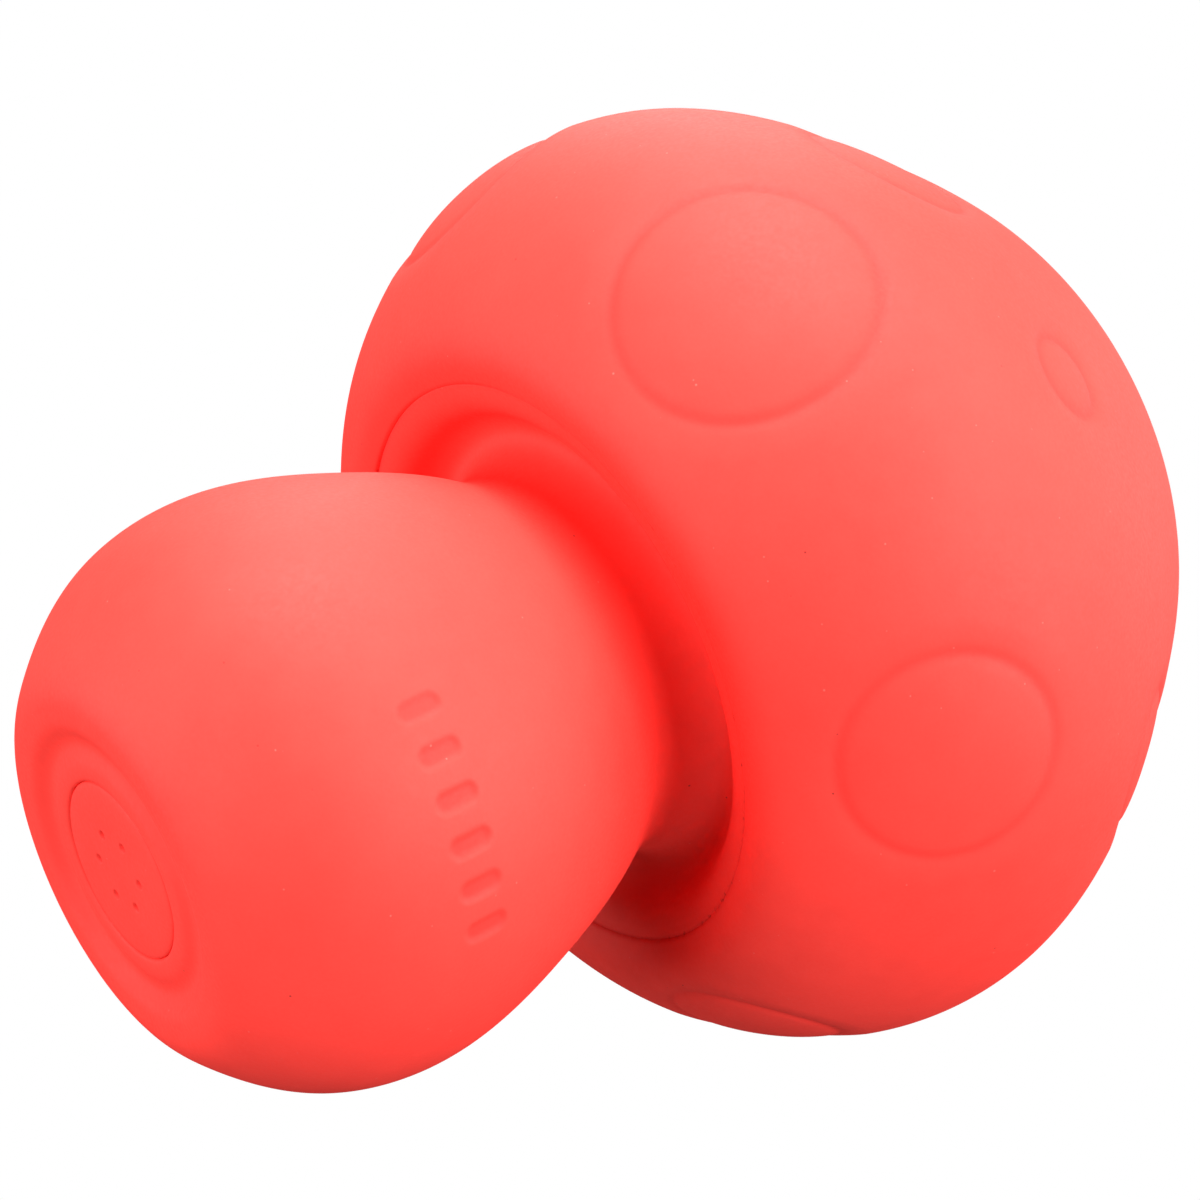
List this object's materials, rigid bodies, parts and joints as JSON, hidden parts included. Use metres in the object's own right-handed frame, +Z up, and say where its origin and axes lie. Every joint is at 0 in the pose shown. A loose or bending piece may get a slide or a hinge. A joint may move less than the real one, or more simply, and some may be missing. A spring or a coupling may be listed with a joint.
{
  "type": "mushroom-shaped squeaky toy",
  "caption": "Hollow soft rubber mushroom with a spotted domed cap on a pear-shaped stem; a reed squeaker in its base sounds when the toy is squeezed.",
  "frame": {"origin": "middle of the base, on the plane of the foot ring that the toy stands on", "axes": "+Z up the stem and through the cap's crown; -Y towards the side of the stem that carries the pressed marks"},
  "size_m": [0.0894, 0.0894, 0.105],
  "materials": {
    "cap_rubber": "soft matte",
    "stem_rubber": "soft matte",
    "plug_rubber": "soft matte",
    "sleeve_plastic": "satin",
    "seat_plastic": "gloss",
    "reed_film": "gloss"
  },
  "bodies": {
    "toy": {"cap_shell": "cap_rubber", "stem_shell": "stem_rubber", "base_plug": "plug_rubber", "squeaker_sleeve": "sleeve_plastic", "reed_seat": "seat_plastic", "reed_clip": "seat_plastic"},
    "reed": {"reed": "reed_film"}
  },
  "joints": [
    {"name": "reed_flex", "type": "hinge", "parent": "toy", "child": "reed", "pos_m": [0, -0.00065, 0.008], "axis": [1, 0, 0], "range_deg": [-1, 6], "stiffness_Nm_per_rad": 0.0001}
  ]
}
